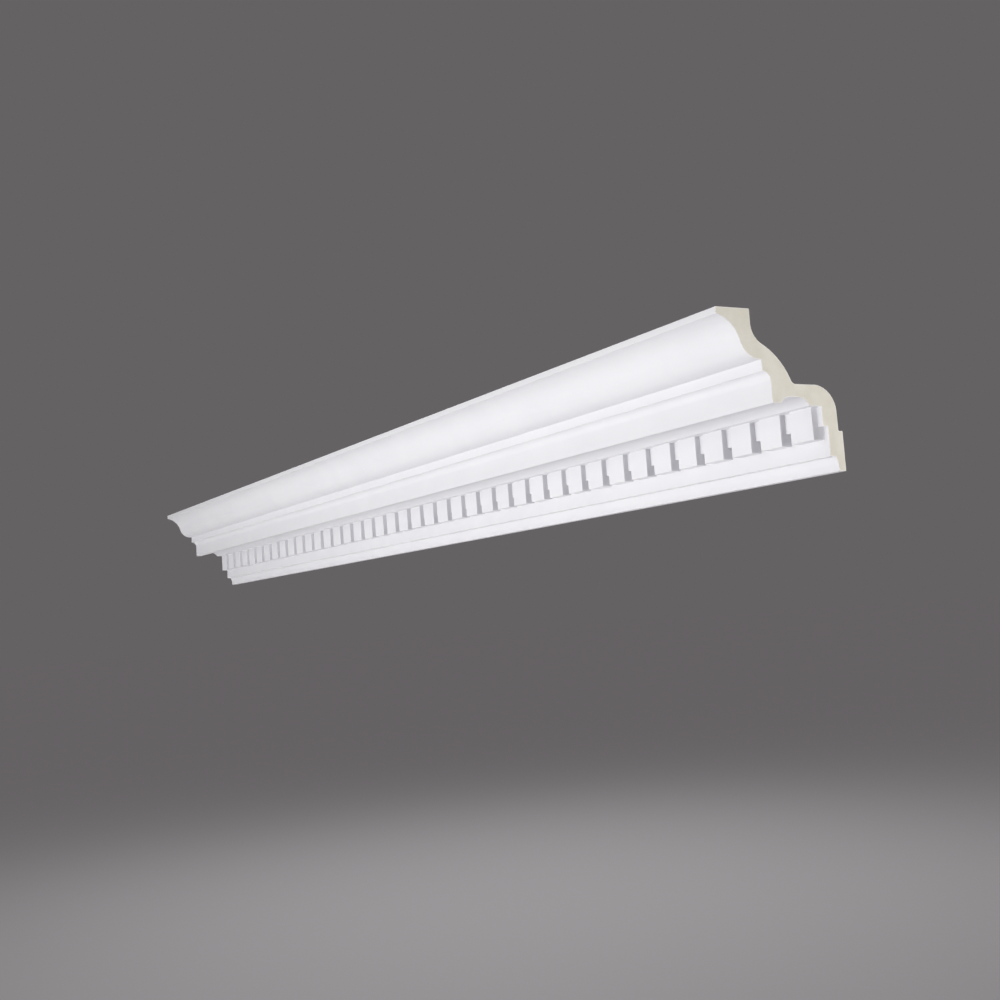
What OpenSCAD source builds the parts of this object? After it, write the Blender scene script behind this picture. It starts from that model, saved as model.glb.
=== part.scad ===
// Dentil cornice: one straight length, moulded in one piece in rigid foam, hollow behind.
// X runs along the length. The wall is the plane Y = 0, the room is on -Y, and Z is up.
// The origin is the centre of the flat face that is glued to the wall.

/* [Length] */
// Length, cut square at both ends
length = 1822; // [200:1:2440]

/* [Overall section] */
// Height down the wall
drop = 150; // [145:0.5:200]
// Reach along the ceiling
projection = 140; // [132:0.5:200]

/* [Glued faces] */
// Width of the flat face on the ceiling
ceiling_flange = 39; // [30:0.5:47]
// Height of the flat face on the wall
wall_flange = 38; // [20:0.5:54]
// Gap between the wall and the back, above the wall face
wall_relief = 5.2; // [2:0.1:8]

/* [Cyma] */
// Height of the top fillet
top_fillet = 6.6; // [2:0.1:9]
// Step back from the top fillet to the hollow
top_quirk = 1.5; // [0.5:0.1:4]
// Radius of the hollow
hollow_r = 34; // [24:0.5:41]
// Radius of the round below the hollow
round_r = 21.5; // [14:0.5:26]
// Slope at the top of the hollow, in degrees from level
lip_slope = 15; // [5:1:25]
// Steepest slope, where the hollow turns into the round
steep_slope = 72; // [60:1:78]
// Straight between the hollow and the round
cyma_flat = 3; // [0.5:0.5:6]

/* [Corona] */
// Step back from the cyma to the fillet below it
toe_step = 2.2; // [1:0.1:5]
// Height of that fillet
crown_fillet = 10.8; // [5:0.1:14]
// Radius of the small hollow below the fillet
bed_hollow_r = 9.2; // [4:0.1:12]
// Height of the plain face of the corona
corona_face = 20; // [12:0.5:26]
// Width of the flat lip under the corona
corona_lip = 9.8; // [4:0.1:14]

/* [Soffit hollow] */
// Radius of its outer side
outer_hollow_r = 13.5; // [8:0.5:17]
// Slope at its outer edge
outer_hollow_slope = 57; // [30:1:70]
// Radius of its inner side
inner_hollow_r = 15; // [8:0.5:18]
// Slope at its inner edge
inner_hollow_slope = 62; // [30:1:75]
// Width of the flat soffit in front of the dentils
dentil_ledge = 8; // [3:0.5:12]

/* [Dentils] */
// Width of a dentil
dentil_w = 30.5; // [10:0.5:60]
// Gap between dentils, evened out so that half a gap is left at each end
dentil_gap = 13.9; // [4:0.1:40]
// Height of a dentil
dentil_h = 31; // [22:0.5:38]
// How far a dentil stands out from the fascia
dentil_depth = 12.4; // [8:0.1:15]
// Height of the filler strip between the dentils
filler_h = 19; // [6:0.5:21]
// How far the filler strip stands out from the fascia
filler_depth = 5.8; // [2:0.1:7.5]

/* [Fascia and base] */
// Reach of the fascia from the wall
fascia_reach = 17.8; // [15:0.1:24]
// Step back under the fascia
base_step = 6.5; // [2:0.1:8]
// Radius of the shallow hollow in the base
base_hollow_r = 23; // [16:0.5:30]
// Slope at the top of that hollow
base_slope = 60; // [55:1:75]
// Height of the lowest fillet
base_fillet = 2.5; // [1:0.1:4]

/* [Hollow back] */
// Straight drop behind the ceiling face
neck = 13.5; // [6:0.5:17]
// Radius of the turn below the neck
neck_r = 21; // [14:0.5:26]
// Flattest slope of the back
back_slope = 27; // [15:1:35]
// Radius of the long swell behind the cyma
swell_r = 69; // [45:1:100]
// Radius where the swell meets the shelf
swell_foot_r = 6; // [2:0.5:9]
// Thickness of foam over the soffit hollow
shelf = 12; // [9:0.5:14]
// Radius of the heel behind the dentils
heel_r = 25.5; // [10:0.5:32]
// Radius in the corner above the wall face
relief_r = 1.5; // [0.5:0.1:1.9]

/* [Hidden] */
// Turn between two points of an arc, in degrees
arc_step = 4;
// How far a dentil runs into the foam behind and above it
bond = 1;

// A section point is [reach from the wall, drop below the ceiling]. A line of the section is
// walked towards the wall. A heading of 0 is level, 90 is straight down, and below 0 is rising.
// A move is a list of steps, each measured from where the move starts.
function down(height) = [[0, height]];
function level(width) = [[-width, 0]];
function slope(run, heading) = [[-run * cos(heading), run * sin(heading)]];
function bend(r, from, to) =
    let (turn = sign(to - from), steps = ceil(abs(to - from) / arc_step))
    [for (i = [1:steps])
        let (heading = from + (to - from) * i / steps)
        turn * r * [sin(from) - sin(heading), cos(from) - cos(heading)]];
function last(points) = points[len(points) - 1];
function walk(at, moves, i = 0) =
    i == len(moves) ? [] :
    concat([for (step = moves[i]) at + step], walk(at + last(moves[i]), moves, i + 1));
function reverse(points) = [for (i = [len(points) - 1:-1:0]) points[i]];

// Upper front: from the ceiling down to the crown of the soffit hollow
front_edge = [projection, 0];
upper_front = walk(front_edge, [
    down(top_fillet),
    level(top_quirk),
    bend(hollow_r, lip_slope, steep_slope),
    slope(cyma_flat, steep_slope),
    bend(round_r, steep_slope, 0),
    level(toe_step),
    down(crown_fillet),
    bend(bed_hollow_r, 0, 90),
    down(corona_face),
    level(corona_lip),
    bend(outer_hollow_r, -outer_hollow_slope, 0)
]);
soffit_crown = last(upper_front);

// Lower front: the flat crown of the soffit hollow takes up what is left of the projection, and
// the plain fascia takes up what is left of the drop
inner_side = bend(inner_hollow_r, 0, inner_hollow_slope);
base_hollow = bend(base_hollow_r, base_slope, 90);
dentil_reach = fascia_reach + dentil_depth;
dentil_top = soffit_crown.y + last(inner_side).y;
base_top = drop - base_fillet - last(base_hollow).y;
lower_front = walk(soffit_crown, [
    level(soffit_crown.x + last(inner_side).x - dentil_ledge - dentil_reach),
    inner_side,
    level(dentil_ledge + dentil_depth - filler_depth),
    down(filler_h),
    level(filler_depth),
    down(base_top - dentil_top - filler_h),
    level(base_step),
    base_hollow,
    down(base_fillet)
]);

// Back, behind the cyma: the swell runs on until its foot meets the shelf over the soffit hollow
shelf_drop = soffit_crown.y - shelf;
back_edge = [projection - ceiling_flange, 0];
neck_side = walk(back_edge, [down(neck), bend(neck_r, 90, back_slope)]);
foot_slope = acos((last(neck_side).y + swell_r * cos(back_slope) + swell_foot_r - shelf_drop)
    / (swell_r + swell_foot_r));
swell = walk(last(neck_side), [
    bend(swell_r, back_slope, foot_slope),
    bend(swell_foot_r, foot_slope, 0)
]);

// Back, behind the dentils: the shelf turns down the heel to the face on the wall
heel_edge = [wall_relief + heel_r, shelf_drop];
heel = walk(heel_edge, [
    bend(heel_r, 0, 90),
    down(drop - wall_flange - relief_r - shelf_drop - heel_r),
    bend(relief_r, 90, 0)
]);

front = concat([front_edge], upper_front, lower_front);
back = concat([back_edge], neck_side, swell, [heel_edge], heel, [[0, drop - wall_flange]]);
section = concat(front, [[0, drop]], reverse(back));
ceiling_z = drop - wall_flange / 2;
dentils = round(length / (dentil_w + dentil_gap));
pitch = length / dentils;

// The section, drawn with the wall on the Y axis and the ceiling at its real height
module section_face() {
    polygon([for (p = section) [-p.x, ceiling_z - p.y]]);
}

// One dentil, centred on its place along the length, with its back and top inside the foam
module dentil() {
    translate([-dentil_w / 2, -dentil_reach, ceiling_z - dentil_top - dentil_h])
        cube([dentil_w, dentil_depth + bond, dentil_h + bond]);
}

module cornice_length() {
    color("whitesmoke")
    union() {
        rotate([90, 0, 90])
            linear_extrude(length, center = true)
                section_face();
        for (i = [0:dentils - 1])
            translate([(i + 0.5) * pitch - length / 2, 0, 0])
                dentil();
    }
}

cornice_length();
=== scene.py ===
"""Looks of one straight length of dentil cornice: rigid foam, primed white, its ends sawn square.

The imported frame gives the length, the reach and the drop. The section is drawn in millimetres as
(reach from the wall, drop below the ceiling). X runs along the length, the wall is Y = 0, the room
is on -Y, and Z is up.
"""
import logging
import math
from dataclasses import dataclass, field
from enum import Enum
from functools import cache

import bmesh
import bpy
import numpy as np
from mathutils import Matrix, Vector, geometry


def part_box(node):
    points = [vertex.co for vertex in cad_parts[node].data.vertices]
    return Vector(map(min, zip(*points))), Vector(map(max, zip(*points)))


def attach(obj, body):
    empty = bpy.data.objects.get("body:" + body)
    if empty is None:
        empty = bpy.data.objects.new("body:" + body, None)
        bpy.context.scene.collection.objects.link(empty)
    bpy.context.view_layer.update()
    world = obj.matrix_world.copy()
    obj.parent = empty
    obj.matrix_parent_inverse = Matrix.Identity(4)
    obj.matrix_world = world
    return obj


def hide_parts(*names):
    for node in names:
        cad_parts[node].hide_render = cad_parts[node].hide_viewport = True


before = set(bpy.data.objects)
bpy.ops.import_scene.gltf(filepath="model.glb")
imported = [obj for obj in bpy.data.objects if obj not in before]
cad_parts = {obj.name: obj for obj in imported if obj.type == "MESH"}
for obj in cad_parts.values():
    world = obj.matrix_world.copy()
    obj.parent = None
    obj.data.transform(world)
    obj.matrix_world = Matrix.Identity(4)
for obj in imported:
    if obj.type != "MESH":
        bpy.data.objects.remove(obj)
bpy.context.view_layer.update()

log = logging.getLogger("cornice")

MM = 0.001
CAD_NODE = "cornice_length"
PIECE_NAME = "dentil_cornice"
SKIN_ATTRIBUTE = "skin"
RIPPLE_ATTRIBUTE = "ripple"
DEPTH_ATTRIBUTE = "depth_from_skin"
# Face attribute that marks where painted shade darkens the primer: the cheeks of the dentils
PAINTED_SHADE_ATTRIBUTE = "painted_shade"
NUMBER = "NodeSocketFloat"
# Length of one band of a Wave Texture whose scale is 1
WAVE_BAND = math.tau / 20.0

Point = tuple[float, float]
Colour = tuple[float, float, float, float]


class Skin(Enum):
    """What the surface of the moulding is, by the place of its material on the mesh."""

    PRIMED = 0
    RAW = 1
    SAWN = 2


def smooth_step(value: float) -> float:
    """Eases a share from 0 to 1.

    Args:
        value: the share, which is clamped to 0 and 1.

    Returns:
        The eased share.
    """
    held = min(max(value, 0.0), 1.0)
    return held * held * (3.0 - 2.0 * held)


def new_object(name: str, data: bpy.types.ID) -> bpy.types.Object:
    """Makes an object and puts it in the scene.

    Args:
        name: its name.
        data: its mesh, light or lens.

    Returns:
        The object.
    """
    made = bpy.data.objects.new(name, data)
    bpy.context.scene.collection.objects.link(made)
    return made


def edge_gaps(points: np.ndarray, outline: np.ndarray) -> tuple[np.ndarray, np.ndarray]:
    """Measures how points lie against each edge of a closed outline.

    Args:
        points: the points.
        outline: its corners.

    Returns:
        For each point and edge, the share of the edge at which its nearest spot lies, and how far
        away that spot is.
    """
    run = np.roll(outline, -1, axis=0) - outline
    gap = points[:, None] - outline
    share = np.clip((gap * run).sum(2) / (run * run).sum(1), 0.0, 1.0)
    return share, np.hypot(*np.moveaxis(gap - share[..., None] * run, 2, 0))


class Pen:
    """Draws a line of the section, walking towards the wall.

    A heading of 0 is level, 90 is straight down, and below 0 is rising.
    """

    arc_step = 4.0

    def __init__(self, reach: float, drop: float) -> None:
        """Starts the line.

        Args:
            reach: distance from the wall.
            drop: distance below the ceiling.
        """
        self.points: list[Point] = [(reach, drop)]

    @property
    def at(self) -> Point:
        """The last point of the line."""
        return self.points[-1]

    def move(self, towards_wall: float, downwards: float) -> None:
        """Adds a point, measured from the last one.

        Args:
            towards_wall: step towards the wall.
            downwards: step down.
        """
        reach, drop = self.at
        self.points.append((reach - towards_wall, drop + downwards))

    def down(self, height: float) -> None:
        """Walks straight down by height."""
        self.move(0.0, height)

    def level(self, width: float) -> None:
        """Walks level by width."""
        self.move(width, 0.0)

    def slope(self, run: float, heading: float) -> None:
        """Walks straight on.

        Args:
            run: length of the line.
            heading: its heading in degrees.
        """
        turn = math.radians(heading)
        self.move(run * math.cos(turn), run * math.sin(turn))

    def bend(self, radius: float, start: float, end: float) -> None:
        """Walks along an arc.

        Args:
            radius: radius of the arc.
            start: heading where it begins, in degrees.
            end: heading where it ends, in degrees.
        """
        side = math.copysign(radius, end - start)
        steps = math.ceil(abs(end - start) / self.arc_step)
        turns = [math.radians(start + (end - start) * i / steps) for i in range(steps + 1)]
        for a, b in zip(turns, turns[1:]):
            self.move(side * (math.sin(b) - math.sin(a)), side * (math.cos(a) - math.cos(b)))


@dataclass(frozen=True)
class Section:
    """The section of the moulding, in millimetres and degrees."""

    projection: float
    drop: float
    ceiling_flange: float = 39.0
    wall_flange: float = 38.0
    wall_relief: float = 5.2
    top_fillet: float = 6.6
    top_quirk: float = 1.5
    hollow_r: float = 34.0
    round_r: float = 21.5
    lip_slope: float = 15.0
    steep_slope: float = 72.0
    cyma_flat: float = 3.0
    toe_step: float = 2.2
    crown_fillet: float = 10.8
    bed_hollow_r: float = 9.2
    corona_face: float = 20.0
    corona_lip: float = 9.8
    outer_hollow_r: float = 13.5
    outer_hollow_slope: float = 57.0
    inner_hollow_r: float = 15.0
    inner_hollow_slope: float = 62.0
    dentil_ledge: float = 8.0
    dentil_h: float = 31.0
    dentil_depth: float = 12.4
    filler_h: float = 19.0
    filler_depth: float = 5.8
    fascia_reach: float = 17.8
    base_step: float = 6.5
    base_hollow_r: float = 23.0
    base_slope: float = 60.0
    base_fillet: float = 2.5
    neck: float = 13.5
    neck_r: float = 21.0
    back_slope: float = 27.0
    swell_r: float = 69.0
    swell_foot_r: float = 6.0
    shelf: float = 12.0
    heel_r: float = 25.5
    relief_r: float = 1.5

    def to_soffit_crown(self) -> Pen:
        """Draws the line from the ceiling to the crown of the hollow under the corona.

        Returns:
            The pen, which stands on the crown.
        """
        pen = Pen(self.projection, 0.0)
        pen.down(self.top_fillet)
        pen.level(self.top_quirk)
        pen.bend(self.hollow_r, self.lip_slope, self.steep_slope)
        pen.slope(self.cyma_flat, self.steep_slope)
        pen.bend(self.round_r, self.steep_slope, 0.0)
        pen.level(self.toe_step)
        pen.down(self.crown_fillet)
        pen.bend(self.bed_hollow_r, 0.0, 90.0)
        pen.down(self.corona_face)
        pen.level(self.corona_lip)
        pen.bend(self.outer_hollow_r, -self.outer_hollow_slope, 0.0)
        return pen

    def upper_front(self) -> list[Point]:
        """Draws the line from the ceiling to the ledge in front of the dentils.

        Returns:
            Its points.
        """
        pen = self.to_soffit_crown()
        inner = Pen(0.0, 0.0)
        inner.bend(self.inner_hollow_r, 0.0, self.inner_hollow_slope)
        dentil_reach = self.fascia_reach + self.dentil_depth
        pen.level(pen.at[0] + inner.at[0] - self.dentil_ledge - dentil_reach)
        pen.bend(self.inner_hollow_r, 0.0, self.inner_hollow_slope)
        return pen.points

    def dentil_and_filler(self, ledge: Point) -> list[list[Point]]:
        """Draws the faces and the undersides of a dentil and of the filler strip beside it.

        Args:
            ledge: outer edge of the ledge above them.

        Returns:
            For each, the top and foot of its face, and the inner edge of its underside.
        """
        lines = []
        sizes = ((self.dentil_depth, self.dentil_h), (self.filler_depth, self.filler_h))
        for depth, height in sizes:
            reach, foot = self.fascia_reach + depth, ledge[1] + height
            lines.append([(reach, ledge[1]), (reach, foot), (self.fascia_reach, foot)])
        return lines

    def base(self) -> list[Point]:
        """Draws the line from the foot of the fascia to the wall.

        Returns:
            Its points.
        """
        hollow = Pen(0.0, 0.0)
        hollow.bend(self.base_hollow_r, self.base_slope, 90.0)
        pen = Pen(self.fascia_reach, self.drop - self.base_fillet - hollow.at[1])
        pen.level(self.base_step)
        pen.bend(self.base_hollow_r, self.base_slope, 90.0)
        pen.down(self.base_fillet)
        return [*pen.points, (0.0, self.drop)]

    def back(self) -> list[Point]:
        """Draws the line up the hollow back, from the face on the wall to the face on the ceiling.

        Returns:
            Its points.
        """
        shelf_drop = self.to_soffit_crown().at[1] - self.shelf
        swell = Pen(self.projection - self.ceiling_flange, 0.0)
        swell.down(self.neck)
        swell.bend(self.neck_r, 90.0, self.back_slope)
        rise = swell.at[1] + self.swell_r * math.cos(math.radians(self.back_slope))
        lean = (rise + self.swell_foot_r - shelf_drop) / (self.swell_r + self.swell_foot_r)
        foot_slope = math.degrees(math.acos(lean))
        swell.bend(self.swell_r, self.back_slope, foot_slope)
        swell.bend(self.swell_foot_r, foot_slope, 0.0)
        heel = Pen(self.wall_relief + self.heel_r, shelf_drop)
        heel.bend(self.heel_r, 0.0, 90.0)
        heel.down(self.drop - self.wall_flange - self.relief_r - shelf_drop - self.heel_r)
        heel.bend(self.relief_r, 90.0, 0.0)
        return [(0.0, self.drop - self.wall_flange), *reversed(swell.points + heel.points)]


@dataclass(frozen=True)
class DentilCourse:
    """How the dentils are spaced, in millimetres."""

    length: float
    width: float = 30.5
    gap: float = 13.9

    @property
    def count(self) -> int:
        """Number of dentils, with half a gap left at each end."""
        return round(self.length / (self.width + self.gap))

    @property
    def pitch(self) -> float:
        """Distance from one dentil to the next."""
        return self.length / self.count


@dataclass
class Bay:
    """One dentil with half a gap on each side, open at both ends, ready to be repeated."""

    section: Section
    course: DentilCourse
    back_strips: int = 5
    ripple_fade: float = 14.0
    decimals: int = 4
    mesh: bmesh.types.BMesh = field(default_factory=bmesh.new)
    corners: dict[tuple[float, float, float], bmesh.types.BMVert] = field(default_factory=dict)

    def corner(self, point: Point, along: float) -> bmesh.types.BMVert:
        """Finds or makes a vertex.

        Args:
            point: its point on the section.
            along: its place along the length.

        Returns:
            The vertex, which all faces that meet there share.
        """
        key = tuple(round(value, self.decimals) for value in (*point, along))
        if key not in self.corners:
            height = self.section.drop - self.section.wall_flange / 2 - point[1]
            place = Vector((along, -point[0], height)) * MM
            self.corners[key] = self.mesh.verts.new(place)
        return self.corners[key]

    def panel(self, corners: list[tuple[Point, float]], skin: Skin, painted_shade: float = 0.0
              ) -> None:
        """Adds one face.

        Args:
            corners: its section points and places along the length, anticlockwise from outside.
            skin: what its surface is.
            painted_shade: how much painted shade darkens it, from 0 to 1.
        """
        face = self.mesh.faces.new([self.corner(point, along) for point, along in corners])
        face[self.mesh.faces.layers.int[SKIN_ATTRIBUTE]] = skin.value
        # Painted shade: the share of the primer's darker cheek colour, standing in for dim light
        face[self.mesh.faces.layers.float[PAINTED_SHADE_ATTRIBUTE]] = painted_shade

    def strip(self, line: list[Point], stations: list[float], skin: Skin) -> None:
        """Sweeps a line of the section along the length.

        Args:
            line: points of the section, walked with the solid on the left as seen from +X.
            stations: places along the length, in rising order.
            skin: what its surface is.
        """
        for a, b in zip(line, line[1:]):
            for left, right in zip(stations, stations[1:]):
                self.panel([(a, left), (b, left), (b, right), (a, right)], skin)

    def glued_faces(self, edges: list[float], back: list[float]) -> None:
        """Adds the flat faces on the wall and on the ceiling.

        Args:
            edges: stations of the primed side.
            back: stations of the hollow back.
        """
        s = self.section
        wall_low, wall_top = (0.0, s.drop), (0.0, s.drop - s.wall_flange)
        ceiling_in, ceiling_out = (s.projection - s.ceiling_flange, 0.0), (s.projection, 0.0)
        for left, right in zip(edges, edges[1:]):
            inside = [x for x in back if left <= x <= right]
            wall_edge = [(wall_top, x) for x in inside]
            self.panel([(wall_low, right), (wall_low, left), *wall_edge], Skin.RAW)
            ceiling_edge = [(ceiling_in, x) for x in reversed(inside)]
            self.panel([(ceiling_out, left), (ceiling_out, right), *ceiling_edge], Skin.RAW)

    def dentil(self, ledge: Point, foot: Point) -> None:
        """Adds the dentil, the filler strips beside it and the fascia.

        Args:
            ledge: outer edge of the ledge above the dentils.
            foot: foot of the fascia.
        """
        tooth, filler = self.section.dentil_and_filler(ledge)
        face_top, under, strip_top, strip_back = tooth[0], tooth[-1], filler[0], filler[-1]
        half, end = self.course.width / 2, self.course.pitch / 2
        self.strip([ledge, *tooth, foot], [-half, half], Skin.PRIMED)
        cheek = [*tooth, *reversed(filler)]
        # The cheeks of the dentil carry full painted shade, for the dim light in the gaps between
        # dentils
        for along, line in ((half, cheek), (-half, cheek[::-1])):
            self.panel([(point, along) for point in line], Skin.PRIMED, painted_shade=1.0)
        for outer, inner in ((-end, -half), (end, half)):
            ledge_panel = [(ledge, outer), (strip_top, outer), (strip_top, inner)]
            ledge_panel += [(face_top, inner), (ledge, inner)]
            fascia_panel = [(strip_back, outer), (foot, outer), (foot, inner)]
            fascia_panel += [(under, inner), (strip_back, inner)]
            turn = 1 if outer < inner else -1
            self.panel(ledge_panel[::turn], Skin.PRIMED)
            self.panel(fascia_panel[::turn], Skin.PRIMED)
            self.strip(filler, sorted((outer, inner)), Skin.PRIMED)

    def mark_ripple(self, line: list[Point], stations: list[float]) -> None:
        """Marks how far each point of the hollow back takes the ripple of the cast foam.

        Args:
            line: the back's points.
            stations: its places along the length.
        """
        layer = self.mesh.verts.layers.float[RIPPLE_ATTRIBUTE]
        runs = [math.dist(a, b) for a, b in zip(line, line[1:])]
        girth = sum(runs)
        travelled = 0.0
        for point, run in zip(line, [*runs, 0.0]):
            share = smooth_step(min(travelled, girth - travelled) / self.ripple_fade)
            for along in stations:
                self.corner(point, along)[layer] = share
            travelled += run

    def build(self) -> bpy.types.Object:
        """Makes the bay.

        Returns:
            An object that holds its mesh.
        """
        self.mesh.faces.layers.int.new(SKIN_ATTRIBUTE)
        self.mesh.faces.layers.float.new(PAINTED_SHADE_ATTRIBUTE)
        self.mesh.verts.layers.float.new(RIPPLE_ATTRIBUTE)
        half, end = self.course.width / 2, self.course.pitch / 2
        edges = [-end, -half, half, end]
        inner = [half * (2 * i / self.back_strips - 1) for i in range(self.back_strips + 1)]
        stations = [-end, *inner, end]
        upper, base, back = self.section.upper_front(), self.section.base(), self.section.back()
        self.strip(upper, edges, Skin.PRIMED)
        self.dentil(upper[-1], base[0])
        self.strip(base, edges, Skin.PRIMED)
        self.strip(back, stations, Skin.RAW)
        self.glued_faces(edges, stations)
        self.mark_ripple(back, stations)
        data = bpy.data.meshes.new("bay")
        self.mesh.to_mesh(data)
        self.mesh.free()
        return new_object("bay", data)


class Bench:
    """Adds nodes to a tree and wires them."""

    spacing = 190.0

    def __init__(self, tree: bpy.types.NodeTree) -> None:
        """Takes the tree to work on."""
        self.tree = tree

    def add(self, kind: str, inputs: dict[str | int, object] | None = None, **settings: object
            ) -> bpy.types.Node:
        """Adds a node.

        Args:
            kind: the node's type.
            inputs: what fills its inputs.
            settings: its own settings.

        Returns:
            The node.
        """
        node = self.tree.nodes.new(kind)
        node.location = (self.spacing * len(self.tree.nodes), 0.0)
        for name, value in settings.items():
            setattr(node, name, value)
        self.fill(node, inputs or {})
        return node

    def fill(self, node: bpy.types.Node, inputs: dict[str | int, object]) -> None:
        """Fills the inputs of a node.

        Args:
            node: the node.
            inputs: values for its inputs, where a socket is wired and anything else is set.
        """
        for name, value in inputs.items():
            if isinstance(value, bpy.types.NodeSocket):
                self.tree.links.new(value, node.inputs[name])
            else:
                node.inputs[name].default_value = value

    def math(self, operation: str, a: object, b: object = 0.0) -> bpy.types.NodeSocket:
        """Adds a Math node.

        Args:
            operation: what it does.
            a: its first value or socket.
            b: its second value or socket.

        Returns:
            Its output.
        """
        return self.add("ShaderNodeMath", {0: a, 1: b}, operation=operation).outputs[0]

    def ramp(self, value: bpy.types.NodeSocket, low: float, high: float,
             start: float = 0.0, end: float = 1.0) -> bpy.types.NodeSocket:
        """Eases a value between two limits.

        Args:
            value: the socket to read.
            low: where the change begins.
            high: where it ends.
            start: result at low.
            end: result at high.

        Returns:
            The eased value.
        """
        limits = {"Value": value, "From Min": low, "From Max": high, "To Min": start, "To Max": end}
        return self.add("ShaderNodeMapRange", limits, interpolation_type="SMOOTHSTEP").outputs[0]

    def blend(self, share: object, a: object, b: object) -> bpy.types.NodeSocket:
        """Mixes two colours.

        Args:
            share: how much of the second one.
            a: first colour or socket.
            b: second colour or socket.

        Returns:
            The mixed colour.
        """
        mix = self.add("ShaderNodeMix", {"Factor": share, 6: a, 7: b}, data_type="RGBA")
        return mix.outputs[2]


def new_group(name: str, kind: str, inputs: dict[str, str], outputs: dict[str, str]
              ) -> tuple[Bench, bpy.types.Node, bpy.types.Node]:
    """Makes an empty node group.

    Args:
        name: the group's name.
        kind: the type of its tree.
        inputs: the socket type of each input.
        outputs: the socket type of each output.

    Returns:
        A bench for its tree, its input node and its output node.
    """
    tree = bpy.data.node_groups.new(name, kind)
    for socket, socket_kind in inputs.items():
        tree.interface.new_socket(socket, in_out="INPUT", socket_type=socket_kind)
    for socket, socket_kind in outputs.items():
        tree.interface.new_socket(socket, in_out="OUTPUT", socket_type=socket_kind)
    bench = Bench(tree)
    return bench, bench.add("NodeGroupInput"), bench.add("NodeGroupOutput")


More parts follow.
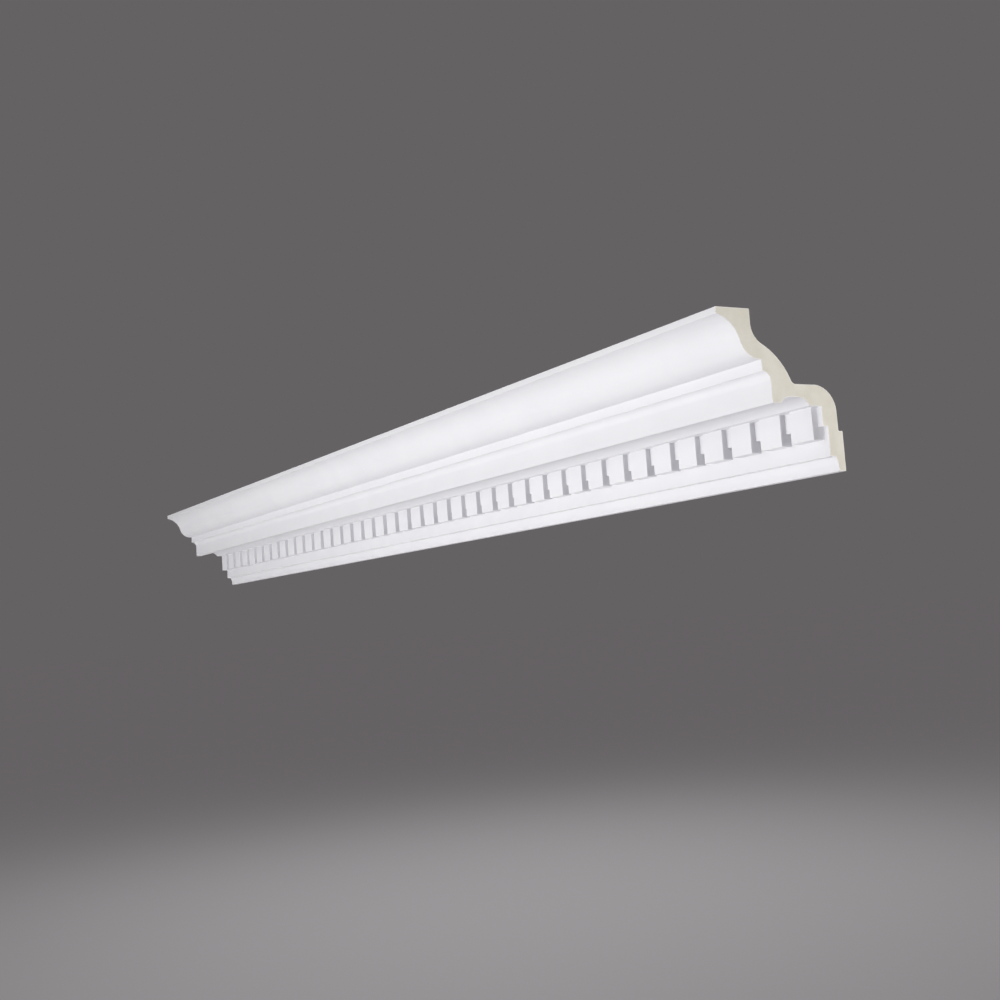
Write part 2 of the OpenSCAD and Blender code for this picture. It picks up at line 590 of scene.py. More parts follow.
@dataclass(frozen=True)
class LengthRun:
    """Repeats a bay along the length with Geometry Nodes, and gives the cast back its ripple."""

    course: DentilCourse
    ripple_size: float = 55.0
    ripple_depth: float = 0.5
    ripple_seed: float = 7.3
    weld: float = 0.01
    sharp_angle: float = 12.0

    def tree(self) -> bpy.types.NodeTree:
        """Builds the node tree.

        Returns:
            The tree, with a named input for each size.
        """
        outputs = {"Geometry": "NodeSocketGeometry"}
        numbers = ("Pitch", "Weld Distance", "Ripple Size", "Ripple Depth", "Ripple Seed")
        inputs = {
            **outputs, "Bay": "NodeSocketObject", "Bays": "NodeSocketInt",
            **dict.fromkeys(numbers, NUMBER),
            **dict.fromkeys(("Primed Skin", "Raw Skin"), "NodeSocketMaterial"),
        }
        bench, source, result = new_group("Bays Along Length", "GeometryNodeTree", inputs, outputs)
        given = source.outputs
        steps = bench.math("MULTIPLY", bench.math("SUBTRACT", given["Bays"], 1.0), -0.5)
        start = bench.math("MULTIPLY", steps, given["Pitch"])
        first = bench.add("ShaderNodeCombineXYZ", {"X": start}).outputs[0]
        offset = bench.add("ShaderNodeCombineXYZ", {"X": given["Pitch"]}).outputs[0]
        line = bench.add(
            "GeometryNodeMeshLine",
            {"Count": given["Bays"], "Start Location": first, "Offset": offset})
        bay = bench.add("GeometryNodeObjectInfo", {"Object": given["Bay"]})
        bays = bench.add(
            "GeometryNodeInstanceOnPoints",
            {"Points": line.outputs["Mesh"], "Instance": bay.outputs["Geometry"]})
        whole = bench.add("GeometryNodeRealizeInstances", {"Geometry": bays.outputs[0]})
        welded = bench.add(
            "GeometryNodeMergeByDistance",
            {"Geometry": whole.outputs[0], "Distance": given["Weld Distance"]})
        dressed = self.dress(bench, given, self.ripple(bench, given, welded.outputs[0]))
        bench.fill(result, {"Geometry": dressed})
        bench.tree.is_modifier = True
        return bench.tree

    def ripple(self, bench: Bench, given: bpy.types.bpy_prop_collection,
               surface: bpy.types.NodeSocket) -> bpy.types.NodeSocket:
        """Moves the cast back slightly in and out.

        Args:
            bench: bench of the tree.
            given: the tree's inputs.
            surface: the welded surface.

        Returns:
            The rippled surface.
        """
        place = bench.add("GeometryNodeInputPosition").outputs[0]
        scale = bench.math("DIVIDE", 1.0, given["Ripple Size"])
        noise = bench.add(
            "ShaderNodeTexNoise",
            {"Vector": place, "W": given["Ripple Seed"], "Scale": scale, "Detail": 2.0},
            noise_dimensions="4D").outputs[0]
        share = bench.add(
            "GeometryNodeInputNamedAttribute", {"Name": RIPPLE_ATTRIBUTE}, data_type="FLOAT")
        height = bench.math("MULTIPLY", bench.math("SUBTRACT", noise, 0.5), given["Ripple Depth"])
        height = bench.math("MULTIPLY", height, share.outputs[0])
        normal = bench.add("GeometryNodeInputNormal").outputs[0]
        shift = bench.add(
            "ShaderNodeVectorMath", {0: normal, "Scale": height}, operation="SCALE").outputs[0]
        return bench.add(
            "GeometryNodeSetPosition", {"Geometry": surface, "Offset": shift}).outputs[0]

    def dress(self, bench: Bench, given: bpy.types.bpy_prop_collection,
              surface: bpy.types.NodeSocket) -> bpy.types.NodeSocket:
        """Gives each skin its material.

        Args:
            bench: bench of the tree.
            given: the tree's inputs.
            surface: the surface to dress.

        Returns:
            The dressed surface.
        """
        skin = bench.add(
            "GeometryNodeInputNamedAttribute", {"Name": SKIN_ATTRIBUTE}, data_type="INT")
        for choice, name in ((Skin.PRIMED, "Primed Skin"), (Skin.RAW, "Raw Skin")):
            chosen = bench.add(
                "FunctionNodeCompare", {2: skin.outputs[0], 3: choice.value},
                data_type="INT", operation="EQUAL")
            surface = bench.add(
                "GeometryNodeSetMaterial",
                {"Geometry": surface, "Selection": chosen.outputs[0], "Material": given[name]}
            ).outputs[0]
        return surface

    def make(self, bay: bpy.types.Object, primed: bpy.types.Material, raw: bpy.types.Material,
             arris: float, arris_steps: int) -> bpy.types.Mesh:
        """Runs the tree, eases the arrises, and takes the result as a plain mesh.

        Args:
            bay: object that holds the bay.
            primed: material of the primed front.
            raw: material of the cast back.
            arris: width of an eased arris, in millimetres.
            arris_steps: flats on each eased arris.

        Returns:
            The mesh, open at both ends.
        """
        holder = new_object("run", bpy.data.meshes.new("run"))
        run = holder.modifiers.new("Run", "NODES")
        run.node_group = self.tree()
        values = {
            "Bay": bay, "Bays": self.course.count, "Pitch": self.course.pitch * MM,
            "Weld Distance": self.weld * MM, "Ripple Size": self.ripple_size * MM,
            "Ripple Depth": self.ripple_depth * MM, "Ripple Seed": self.ripple_seed,
            "Primed Skin": primed, "Raw Skin": raw,
        }
        for socket in run.node_group.interface.items_tree:
            if socket.in_out == "INPUT" and socket.name in values:
                run[socket.identifier] = values[socket.name]
        ease = holder.modifiers.new("Arrises", "BEVEL")
        ease.width = arris * MM
        ease.segments = arris_steps
        ease.limit_method = "ANGLE"
        ease.angle_limit = math.radians(self.sharp_angle)
        ease.use_clamp_overlap = False
        result = holder.evaluated_get(bpy.context.evaluated_depsgraph_get())
        mesh = bpy.data.meshes.new_from_object(result)
        bpy.data.objects.remove(holder)
        bpy.data.objects.remove(bay)
        return mesh


@dataclass(frozen=True)
class SawnEnd:
    """Closes one end of the moulding with a sawn face, in millimetres."""

    side: int
    rim: float = 0.9
    spacing: float = 2.4
    waviness: float = 0.06
    wave: float = 28.0
    ring_clear: float = 0.98
    ring_apart: float = 0.6
    merge: float = 1e-5

    def close(self, mesh: bmesh.types.BMesh) -> int:
        """Fills the open end.

        Args:
            mesh: the moulding, open at this end.

        Returns:
            How many faces the sawn face has.
        """
        depth = mesh.verts.layers.float[DEPTH_ATTRIBUTE]
        skin = mesh.faces.layers.int[SKIN_ATTRIBUTE]
        loop = self.boundary(mesh)
        outline = np.array([(v.co.y, v.co.z) for v in loop]) / MM
        inner = self.inner_points(outline)
        flat = [Vector(p) for p in (*outline, *inner)]
        face = list(range(len(outline)))
        places, _, triangles, came_from, _, _ = geometry.delaunay_2d_cdt(
            flat, [], [face], 1, self.merge)
        away = edge_gaps(np.array(inner), outline)[1].min(1)
        level = loop[0].co.x
        known: dict[int, bmesh.types.BMVert] = {}
        for i, sources in enumerate(came_from):
            source = sources[0]
            if source < len(loop):
                known[i] = loop[source]
                continue
            clear = float(away[source - len(loop)])
            share = smooth_step(clear / self.rim - 0.5)
            swing = math.sin(places[i].x / self.wave * math.tau)
            sink = share * self.waviness * 0.5 * (1.0 + swing)
            place = (level - self.side * sink * MM, places[i].x * MM, places[i].y * MM)
            known[i] = mesh.verts.new(place)
            known[i][depth] = clear
        for triangle in triangles:
            new = mesh.faces.new([known[i] for i in triangle[::self.side]])
            new[skin] = Skin.SAWN.value
            new.material_index = Skin.SAWN.value
        return len(triangles)

    def boundary(self, mesh: bmesh.types.BMesh) -> list[bmesh.types.BMVert]:
        """Finds the open edge.

        Args:
            mesh: the moulding.

        Returns:
            Its vertices in order, anticlockwise as seen from +X.
        """
        edges = {e for e in mesh.edges if e.is_boundary and e.verts[0].co.x * self.side > 0}
        edge = min(edges, key=lambda e: e.index)
        first = edge.verts[0]
        loop = [first, edge.verts[1]]
        while True:
            edges.discard(edge)
            following = [e for e in loop[-1].link_edges if e in edges]
            if not following:
                break
            edge = following[0]
            loop.append(edge.other_vert(loop[-1]))
        loop.pop()
        turn = sum(a.co.y * b.co.z - b.co.y * a.co.z for a, b in zip(loop, loop[1:] + loop[:1]))
        return loop if turn > 0 else loop[::-1]

    def inner_points(self, outline: np.ndarray) -> list[Point]:
        """Spreads points over the sawn face: a ring close to its edge, and rows inside that.

        Args:
            outline: its edge.

        Returns:
            The points.
        """
        after = np.roll(outline, -1, axis=0)
        ring: list[Point] = []
        for a, b in zip(outline, after):
            run = b - a
            long = float(np.hypot(*run))
            inward = np.array((-run[1], run[0])) / long
            steps = max(1, round(long / self.spacing))
            for i in range(steps):
                ring.append(tuple(a + run * ((i + 0.5) / steps) + inward * self.rim))
        rows: list[Point] = []
        low, high = outline.min(0), outline.max(0)
        row_gap = self.spacing * math.sqrt(3.0) / 2.0
        for row in range(int((high[1] - low[1]) / row_gap)):
            shift = self.spacing / 2 * (row % 2)
            for step in range(int((high[0] - low[0]) / self.spacing)):
                rows.append((low[0] + shift + step * self.spacing, low[1] + row * row_gap))
        kept = self.spaced(
            np.array(ring), outline, self.rim * self.ring_clear, self.rim * self.ring_apart)
        inside = self.spaced(np.array(rows), outline, self.rim + self.spacing / 2, 0.0)
        return [tuple(p) for p in (*kept, *inside)]

    def spaced(self, points: np.ndarray, outline: np.ndarray, clear: float, apart: float
               ) -> list[np.ndarray]:
        """Keeps the points that lie inside, clear of the edge and apart from each other.

        Args:
            points: points to sort.
            outline: the edge.
            clear: least distance from the edge.
            apart: least distance from the point kept before.

        Returns:
            The points kept.
        """
        after = np.roll(outline, -1, axis=0)
        above = (outline[:, 1] > points[:, None, 1]) != (after[:, 1] > points[:, None, 1])
        rise = np.where(after[:, 1] == outline[:, 1], 1.0, after[:, 1] - outline[:, 1])
        share = (points[:, None, 1] - outline[:, 1]) / rise
        crossing = points[:, None, 0] < outline[:, 0] + share * (after[:, 0] - outline[:, 0])
        within = (above & crossing).sum(1) % 2 == 1
        far = edge_gaps(points, outline)[1].min(1) >= clear
        kept: list[np.ndarray] = []
        for point in points[within & far]:
            if not kept or math.dist(point, kept[-1]) >= apart:
                kept.append(point)
        return kept


@dataclass(frozen=True)
class BakeMap:
    """Lays the moulding out flat, in millimetres, so that its finish can be stored as a picture.

    The skin is unrolled round the section in two halves of the length, one above the other, with
    the cheeks of the dentils in two rows above them. The two sawn ends lie beside, enlarged.
    """

    section: Section
    course: DentilCourse
    gap: float = 12.0
    end_scale: float = 2.6
    cheek_slope: float = 0.8
    margin: float = 0.002

    def girths(self, places: np.ndarray, line: list[Point]) -> np.ndarray:
        """Measures how far round the section points lie.

        Args:
            places: reach and drop of each point.
            line: the closed outline to follow.

        Returns:
            One distance for each point.
        """
        outline = np.array(line)
        share, away = edge_gaps(places, outline)
        long = np.hypot(*(np.roll(outline, -1, axis=0) - outline).T)
        before = np.concatenate(([0.0], np.cumsum(long)[:-1]))
        nearest = away.argmin(1)
        return before[nearest] + share[np.arange(len(places)), nearest] * long[nearest]

    @staticmethod
    def read(items: bpy.types.bpy_prop_collection, name: str, width: int, kind: type
             ) -> np.ndarray:
        """Reads one property of many items.

        Args:
            items: the items.
            name: the property.
            width: how many numbers it holds.
            kind: type of the numbers.

        Returns:
            One row for each item.
        """
        values = np.empty(len(items) * width, kind)
        items.foreach_get(name, values)
        return values.reshape(-1, width)

    def unrolled(self, flat: np.ndarray, corner: np.ndarray, first: np.ndarray, owner: np.ndarray,
                 on_tooth: np.ndarray) -> tuple[np.ndarray, float]:
        """Follows each corner of each face round the section.

        Args:
            flat: reach and drop of each vertex.
            corner: vertex of each corner.
            first: first corner of each face.
            owner: face of each corner.
            on_tooth: whether each face is within the width of a dentil.

        Returns:
            How far round each corner is, and how far it is all the way round.
        """
        upper, base, back = self.section.upper_front(), self.section.base(), self.section.back()
        lines = [[*upper, *middle, *base, *back]
                 for middle in self.section.dentil_and_filler(upper[-1])]
        by_tooth, by_gap = (self.girths(flat, line) for line in lines)
        whole = max(sum(math.dist(a, b) for a, b in zip(line, [*line[1:], line[0]]))
                    for line in lines)
        around = np.where(on_tooth[owner], by_tooth[corner], by_gap[corner])
        spread = np.maximum.reduceat(around, first) - np.minimum.reduceat(around, first)
        crossing = (spread[owner] > whole / 2) & (around < whole / 2)
        return np.where(crossing, whole, around), whole

    def lay(self, mesh: bpy.types.Mesh) -> None:
        """Writes the map.

        Args:
            mesh: the closed moulding.
        """
        half, pitch = self.course.length / 2, self.course.pitch
        ceiling = self.section.drop - self.section.wall_flange / 2
        spots = self.read(mesh.vertices, "co", 3, np.float32) / MM
        corner = self.read(mesh.loops, "vertex_index", 1, np.int32)[:, 0]
        first = self.read(mesh.polygons, "loop_start", 1, np.int32)[:, 0]
        owner = np.repeat(np.arange(len(first)), np.diff([*first, len(corner)]))
        middle = self.read(mesh.polygons, "center", 3, np.float32)[:, 0] / MM
        facing = self.read(mesh.polygons, "normal", 3, np.float32)[:, 0]
        sawn = self.read(mesh.polygons, "material_index", 1, np.int32)[:, 0] == Skin.SAWN.value
        flat = np.column_stack((-spots[:, 1], ceiling - spots[:, 2]))
        tooth = np.floor((middle + half) / pitch)
        off = middle + half - (tooth + 0.5) * pitch
        on_tooth = np.abs(off) < self.course.width / 2
        around, whole = self.unrolled(flat, corner, first, owner, on_tooth)
        sheet, right = whole + self.gap, (middle > 0)[owner]
        places = np.column_stack((
            spots[corner, 0] + half * ~right, around + sheet * right))
        row = 2 * sheet + (self.section.dentil_h + self.gap) * (off > 0)
        inset = flat[corner] - (self.section.fascia_reach, self.section.upper_front()[-1][1])
        cheek_place = inset + np.column_stack((tooth * pitch / 2, row))[owner]
        end_row = (self.section.drop * self.end_scale + self.gap) * right
        end_place = flat[corner] * self.end_scale + (half + pitch, 0.0)
        end_place[:, 1] += end_row
        cheek = (np.abs(facing) > self.cheek_slope) & ~sawn
        places = np.where(cheek[owner, None], cheek_place, places)
        places = np.where(sawn[owner, None], end_place, places)
        places -= places.min(0)
        uv = mesh.uv_layers.new(name="OFBake").uv
        share = places / places.max() * (1.0 - 2.0 * self.margin) + self.margin
        uv.foreach_set("vector", share.astype(np.float32).ravel())


@cache
def grain_group() -> bpy.types.NodeTree:
    """Builds, once, the fine grain that a sprayed or cast skin has.

    Returns:
        The group: a height for the bump, and a broad patch mask for small changes of tone.
    """
    patch_range = (0.3, 0.7)
    bench, source, result = new_group(
        "Skin Grain", "ShaderNodeTree",
        {"Vector": "NodeSocketVector", "Grain Size": NUMBER, "Patch Size": NUMBER},
        {"Height": NUMBER, "Patch": NUMBER})
    given = source.outputs
    fine = bench.add("ShaderNodeTexNoise", {
        "Vector": given["Vector"], "Scale": bench.math("DIVIDE", 1.0, given["Grain Size"]),
        "Detail": 3.0, "Roughness": 0.55})
    broad = bench.add("ShaderNodeTexNoise", {
        "Vector": given["Vector"], "Scale": bench.math("DIVIDE", 1.0, given["Patch Size"]),
        "Detail": 2.0, "Roughness": 0.5})
    patch = bench.ramp(broad.outputs[0], *patch_range)
    bench.fill(result, {"Height": fine.outputs[0], "Patch": patch})
    return bench.tree


@cache
def cells_group() -> bpy.types.NodeTree:
    """Builds, once, the cells of rigid foam.

    Returns:
        The group: a height for the bump, and a mask of the pits.
    """
    coarse_share = 0.22
    open_range = (0.75, 1.15)
    pit_range = (0.45, 0.1)
    bench, source, result = new_group(
        "Foam Cells", "ShaderNodeTree",
        {"Vector": "NodeSocketVector", "Cell Size": NUMBER, "Openness": NUMBER},
        {"Height": NUMBER, "Pits": NUMBER})
    given = source.outputs
    scale = bench.math("DIVIDE", 1.0, given["Cell Size"])
    cell = bench.add("ShaderNodeTexVoronoi", {"Vector": given["Vector"], "Scale": scale})
    coarse = bench.add("ShaderNodeTexNoise", {
        "Vector": given["Vector"], "Scale": bench.math("MULTIPLY", scale, coarse_share),
        "Detail": 2.0})
    opened = bench.ramp(bench.math("ADD", coarse.outputs[0], given["Openness"]), *open_range)
    pit = bench.ramp(cell.outputs["Distance"], *pit_range)
    pits = bench.math("MULTIPLY", pit, opened)
    bench.fill(result, {"Height": bench.math("SUBTRACT", 1.0, pits), "Pits": pits})
    return bench.tree


class MaterialBench(Bench):
    """A bench for one material of the moulding, which begins with its fine grain."""

    ior = 1.5

    def __init__(self, name: str, grain: float, patch: float) -> None:
        """Begins the material.

        Args:
            name: its name.
            grain: size of its grain.
            patch: size of its patches of tone.
        """
        self.material = bpy.data.materials.new(name)
        self.material.use_nodes = True
        super().__init__(self.material.node_tree)
        self.place = self.add("ShaderNodeTexCoord").outputs["Object"]
        self.grain = self.group(grain_group(), {"Grain Size": grain, "Patch Size": patch})

    def group(self, tree: bpy.types.NodeTree, sizes: dict[str, float]) -> bpy.types.NodeOutputs:
        """Places a group that reads the point on the object.

        Args:
            tree: the group.
            sizes: what fills its other inputs.

        Returns:
            Its outputs.
        """
        inputs = {"Vector": self.place, **sizes}
        return self.add("ShaderNodeGroup", inputs, node_tree=tree).outputs

    def finish(self, colour: bpy.types.NodeSocket, roughness: tuple[float, float],
               layers: list[tuple[bpy.types.NodeSocket, float]], gloss: float = 0.5
               ) -> bpy.types.Material:
        """Wires the shader to the colour, the roughness and a stack of bumps.

        Args:
            colour: the colour.
            roughness: its roughness outside and inside the patches.
            layers: each bump's height and its depth in metres.
            gloss: how strongly it reflects.

        Returns:
            The material.
        """
        rough = self.ramp(self.grain["Patch"], 0.0, 1.0, *roughness)
        below: dict[str, object] = {}
        for height, depth in layers:
            bump = self.add("ShaderNodeBump", {"Height": height, "Distance": depth, **below})
            below = {"Normal": bump.outputs[0]}
        self.fill(self.tree.nodes["Principled BSDF"], {
            "Base Color": colour, "Roughness": rough, "IOR": self.ior,
            "Specular IOR Level": gloss, **below})
        return self.material


@dataclass(frozen=True)
class Primer:
    """The smooth factory coat of white primer; painted shade darkens the dentils' cheeks."""

    white: Colour = (0.825, 0.825, 0.847, 1.0)
    shade: Colour = (0.8, 0.8, 0.824, 1.0)
    # Painted shade: the darker colour given to the cheeks of the dentils
    painted_cheek_shade: Colour = (0.705, 0.705, 0.733, 1.0)
    roughness: tuple[float, float] = (0.64, 0.74)
    grain: float = 0.0016
    patch: float = 0.09
    grain_depth: float = 0.00002

    def dress(self) -> bpy.types.Material:
        """Builds the material.

        Returns:
            The material.
        """
        bench = MaterialBench("white_primer", self.grain, self.patch)
        # Painted shade on the cheeks of the dentils, read from the mesh attribute
        painted_shade_mask = bench.add("ShaderNodeAttribute", attribute_name=PAINTED_SHADE_ATTRIBUTE).outputs["Fac"]
        coat = bench.blend(bench.grain["Patch"], self.white, self.shade)
        colour = bench.blend(painted_shade_mask, coat, self.painted_cheek_shade)
        return bench.finish(colour, self.roughness, [(bench.grain["Height"], self.grain_depth)])


@dataclass(frozen=True)
class SawnFoam:
    """Cream foam, cut through by a fine saw."""

    cream: Colour = (0.79, 0.76, 0.67, 1.0)
    dark_cream: Colour = (0.735, 0.7, 0.605, 1.0)
    pit: Colour = (0.6, 0.55, 0.42, 1.0)
    skin: Colour = (0.88, 0.87, 0.82, 1.0)
    skin_depth: float = 0.9
    cell: float = 0.0007
    openness: float = 0.45
    pit_share: float = 0.5
    saw_gap: float = 0.0014
    saw_lean: float = 0.35
    saw_wobble: float = 1.5
    roughness: tuple[float, float] = (0.82, 0.95)
    gloss: float = 0.2
    patch: float = 0.022
    cell_depth: float = 0.00012
    saw_depth: float = 0.00004

    def dress(self) -> bpy.types.Material:
        """Builds the material.

        Returns:
            The material.
        """
        bench = MaterialBench("sawn_foam", self.cell, self.patch)
        cells = bench.group(cells_group(), {"Cell Size": self.cell, "Openness": self.openness})
        turned = bench.add(
            "ShaderNodeMapping", {"Vector": bench.place, "Rotation": (self.saw_lean, 0.0, 0.0)})
        saw = bench.add("ShaderNodeTexWave", {
            "Vector": turned.outputs[0], "Scale": WAVE_BAND / self.saw_gap,
            "Distortion": self.saw_wobble, "Detail": 2.0, "Detail Scale": 0.4},
            bands_direction="Y")
        depth = bench.add("ShaderNodeAttribute", attribute_name=DEPTH_ATTRIBUTE).outputs["Fac"]
        core = bench.ramp(depth, 0.0, self.skin_depth)
        mottled = bench.blend(bench.grain["Patch"], self.cream, self.dark_cream)
        pits = bench.math("MULTIPLY", cells["Pits"], self.pit_share)
        colour = bench.blend(core, self.skin, bench.blend(pits, mottled, self.pit))
        layers = [(saw.outputs["Fac"], self.saw_depth), (cells["Height"], self.cell_depth)]
        return bench.finish(colour, self.roughness, layers, self.gloss)


@dataclass(frozen=True)
class CastSkin:
    """The raw skin of the cast foam on the hollow back, with primer that wraps over its edges."""

    bottom: float
    front: float
    cream: Colour = (0.74, 0.71, 0.61, 1.0)
    pale: Colour = (0.8, 0.775, 0.69, 1.0)
    pinhole: Colour = (0.52, 0.47, 0.36, 1.0)
    primer: Colour = (0.825, 0.825, 0.847, 1.0)
    wrap: float = 0.007
    ragged: float = 0.005
    grain: float = 0.003
    patch: float = 0.05
    cell: float = 0.0022
    openness: float = 0.2
    roughness: tuple[float, float] = (0.6, 0.75)
    grain_depth: float = 0.00006
    cell_depth: float = 0.00025

    def dress(self) -> bpy.types.Material:
        """Builds the material.

        Returns:
            The material.
        """
        bench = MaterialBench("cast_foam_skin", self.grain, self.patch)
        cells = bench.group(cells_group(), {"Cell Size": self.cell, "Openness": self.openness})
        cast = bench.blend(bench.grain["Patch"], self.cream, self.pale)
        cast = bench.blend(cells["Pits"], cast, self.pinhole)
        colour = bench.blend(self.wrapped(bench), cast, self.primer)
        return bench.finish(colour, self.roughness, [
            (bench.grain["Height"], self.grain_depth), (cells["Height"], self.cell_depth)])

    def wrapped(self, bench: MaterialBench) -> bpy.types.NodeSocket:
        """Masks the narrow bands where the primer was sprayed round an edge.

        Args:
            bench: the material's bench.

        Returns:
            The mask, whose edge is made uneven by the grain.
        """
        axes = bench.add("ShaderNodeSeparateXYZ", {0: bench.place}).outputs
        uneven = bench.math("MULTIPLY", bench.grain["Height"], self.ragged)
        from_front = bench.math("ADD", bench.math("SUBTRACT", axes["Y"], self.front), uneven)
        from_bottom = bench.math("ADD", bench.math("SUBTRACT", axes["Z"], self.bottom), uneven)
        on_ceiling = bench.ramp(from_front, self.wrap, self.wrap / 2)
        on_wall = bench.ramp(from_bottom, self.wrap, self.wrap / 2)
        return bench.math("MAXIMUM", on_ceiling, on_wall)


@dataclass
class CorniceLength:
    """The whole moulding: one closed piece of foam."""

    low: Vector
    high: Vector
    arris: float = 0.45
    arris_steps: int = 2
    crease: float = 48.0

    def build(self) -> bpy.types.Object:
        """Makes and dresses the moulding.

        Returns:
            The finished piece.
        """
        size = (self.high - self.low) / MM
        section = Section(projection=round(size.y, 3), drop=round(size.z, 3))
        course = DentilCourse(length=round(size.x, 3))
        log.info("%d dentils at %.2f mm", course.count, course.pitch)
        primed = Primer().dress()
        raw = CastSkin(bottom=self.low.z, front=self.low.y).dress()
        sawn = SawnFoam().dress()
        bay = Bay(section, course).build()
        skin = LengthRun(course).make(bay, primed, raw, self.arris, self.arris_steps)
        skin.materials.clear()
        for material in (primed, raw, sawn):
            skin.materials.append(material)
        piece = new_object(PIECE_NAME, self.close(skin))
        BakeMap(section, course).lay(piece.data)
        return self.smooth(piece)

    def close(self, skin: bpy.types.Mesh) -> bpy.types.Mesh:
        """Closes both ends with sawn faces.

        Args:
            skin: the moulding, open at both ends.

        Returns:
            The same mesh, closed.
        """
        mesh = bmesh.new()
        mesh.from_mesh(skin)
        mesh.verts.layers.float.new(DEPTH_ATTRIBUTE)
        layer = mesh.faces.layers.int[SKIN_ATTRIBUTE]
        for face in mesh.faces:
            face.material_index = face[layer]
        for side in (1, -1):
            made = SawnEnd(side).close(mesh)
            log.info("sawn end %+d: %d faces", side, made)
        open_edges = [e for e in mesh.edges if not e.is_manifold]
        if open_edges:
            raise RuntimeError(f"the moulding has {len(open_edges)} open edges")
        bmesh.ops.recalc_face_normals(mesh, faces=mesh.faces)
        mesh.to_mesh(skin)
        mesh.free()
        return skin

    def smooth(self, piece: bpy.types.Object) -> bpy.types.Object:
        """Shades the curves smooth and keeps the flats flat and the sawn arrises sharp.

        Args:
            piece: the closed moulding.

        Returns:
            The same object.
        """
        piece.data.shade_smooth()
        piece.data.set_sharp_from_angle(angle=math.radians(self.crease))
        weigh = piece.modifiers.new("Flats", "WEIGHTED_NORMAL")
        weigh.keep_sharp = True
        weigh.weight = 100
        return piece


@dataclass(frozen=True)
class Softbox:
    """One soft studio light, in metres and watts."""

    name: str
    place: tuple[float, float, float]
    aim: tuple[float, float, float]
    width: float
    height: float
    power: float

    def hang(self) -> bpy.types.Object:
        """Makes the light.

        Returns:
            The light, aimed and in its place.
        """
        lamp = bpy.data.lights.new(self.name, "AREA")
        lamp.shape = "RECTANGLE"
        lamp.size = self.width
        lamp.size_y = self.height
        lamp.energy = self.power
        light = new_object(self.name, lamp)
        light.location = self.place
        towards = Vector(self.aim) - Vector(self.place)
        light.rotation_euler = towards.to_track_quat("-Z", "Y").to_euler()
        light.visible_camera = False
        return light


@dataclass(frozen=True)
class Viewpoint:
    """Where the camera stands, measured from the near sawn end and the wall, in metres."""

    beyond_end: float = 0.916
    out_from_wall: float = 0.895
    height: float = -0.137
    towards_wall: float = 29.58
    upwards: float = 5.24
    roll: float = -4.0
    lens: float = 47.7

    def stand(self, near_end: float) -> bpy.types.Object:
        """Makes the camera.

        Args:
            near_end: where the near end of the moulding is along X.

        Returns:
            The camera.
        """
        turn, rise, roll = (math.radians(a) for a in (self.towards_wall, self.upwards, self.roll))
        view = Vector((-math.cos(turn) * math.cos(rise), math.sin(turn) * math.cos(rise),
                       math.sin(rise)))
        level = view.cross(Vector((0.0, 0.0, 1.0))).normalized()
        upright = level.cross(view)
        right = math.cos(roll) * level + math.sin(roll) * upright
        above = math.cos(roll) * upright - math.sin(roll) * level
        lens = bpy.data.cameras.new("camera")
        lens.lens = self.lens
        camera = new_object("camera", lens)
        turned = Matrix((right, above, -view)).transposed().to_4x4()
        turned.translation = (near_end + self.beyond_end, -self.out_from_wall, self.height)
        camera.matrix_world = turned
        return camera


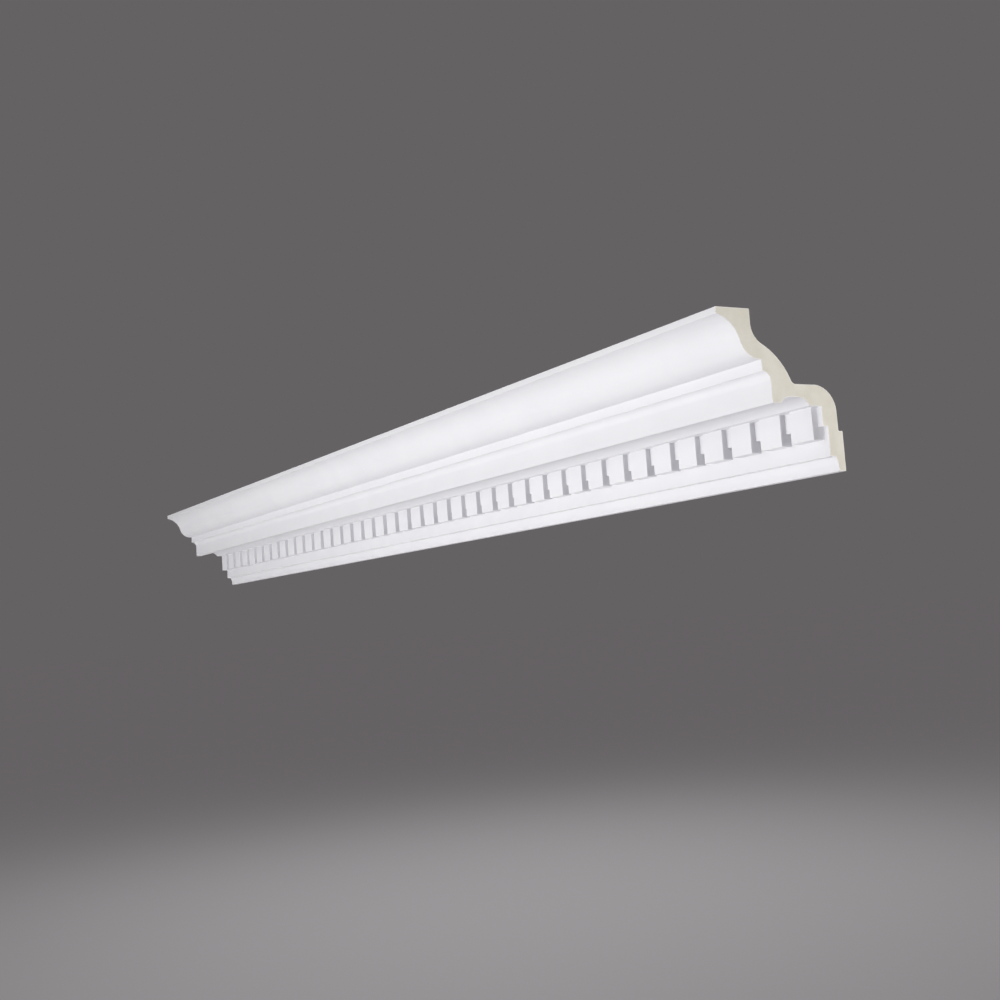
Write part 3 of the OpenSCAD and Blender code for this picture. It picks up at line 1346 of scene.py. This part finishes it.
@dataclass(frozen=True)
class Studio:
    """A plain studio: a pale floor, soft light and a quiet grey surround, in metres."""

    floor_drop: float = 2.3
    floor_size: float = 600.0
    floor_colour: Colour = (0.8, 0.79, 0.8, 1.0)
    floor_roughness: float = 0.9
    surround: Colour = (0.13, 0.122, 0.127, 1.0)
    softboxes: tuple[Softbox, ...] = (
        Softbox("room_light", (0.2, -1.85, -1.8), (0.2, 0.0, 0.05), 1.0, 1.0, 21.6),
        Softbox("level_light", (0.2, -2.6, 0.28), (0.2, 0.0, 0.05), 1.0, 1.0, 14.5),
        Softbox("high_light", (0.2, -2.45, 0.95), (0.2, 0.0, 0.05), 1.0, 1.0, 4.7),
        Softbox("near_light", (1.0, -2.55, -0.3), (0.9, -0.07, 0.05), 1.0, 1.0, 20.4),
        Softbox("end_light", (3.6, -0.25, -0.2), (0.9, -0.07, 0.05), 0.5, 0.5, 22.0),
        Softbox("rear_light", (1.47, 1.1, 0.08), (0.911, -0.07, 0.05), 0.45, 0.45, 15.0),
        Softbox("far_light", (-3.4, 0.6, 0.1), (-0.911, -0.07, 0.05), 0.5, 0.5, 22.0),
        Softbox("ceiling_light", (0.0, 0.2, 1.5), (0.0, -0.1, 0.0), 2.2, 0.4, 14.5),
        Softbox("wall_light", (-0.1, 1.4, 0.6), (-0.1, 0.0, 0.05), 2.2, 0.4, 4.5),
        Softbox("floor_light", (-7.5, 4.5, 2.0), (-7.5, 4.5, -2.0), 8.0, 8.0, 90.0),
    )

    def set_up(self, low: Vector) -> None:
        """Builds the studio.

        Args:
            low: lowest corner of the moulding.
        """
        half = self.floor_size / 2
        ground = low.z - self.floor_drop
        mesh = bpy.data.meshes.new("floor")
        plan = ((-half, -half), (half, -half), (half, half), (-half, half))
        corners = [(x, y, ground) for x, y in plan]
        mesh.from_pydata(corners, [], [(0, 1, 2, 3)])
        floor = new_object("floor", mesh)
        mesh.materials.append(self.floor_material())
        for softbox in self.softboxes:
            softbox.hang()
        world = bpy.data.worlds.new("surround")
        world.use_nodes = True
        world.node_tree.nodes["Background"].inputs["Color"].default_value = self.surround
        bpy.context.scene.world = world
        bpy.context.scene.view_settings.view_transform = "Standard"

    def floor_material(self) -> bpy.types.Material:
        """Builds the matt pale finish of the floor.

        Returns:
            The material.
        """
        material = bpy.data.materials.new("floor")
        material.use_nodes = True
        Bench(material.node_tree).fill(material.node_tree.nodes["Principled BSDF"], {
            "Base Color": self.floor_colour, "Roughness": self.floor_roughness,
            "Specular IOR Level": 0.0, "Emission Color": self.surround,
            "Emission Strength": 1.0 - self.floor_colour[0]})
        return material


def main() -> None:
    """Builds the moulding and the studio round it."""
    logging.basicConfig(level=logging.INFO, format="%(name)s: %(message)s")
    low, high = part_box(CAD_NODE)
    bpy.context.scene.camera = Viewpoint().stand(high.x)
    piece = CorniceLength(low, high).build()
    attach(piece, "root")
    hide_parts(CAD_NODE)
    log.info("%s: %d faces", piece.name, len(piece.data.polygons))
    Studio().set_up(low)


if __name__ == "__main__":
    main()
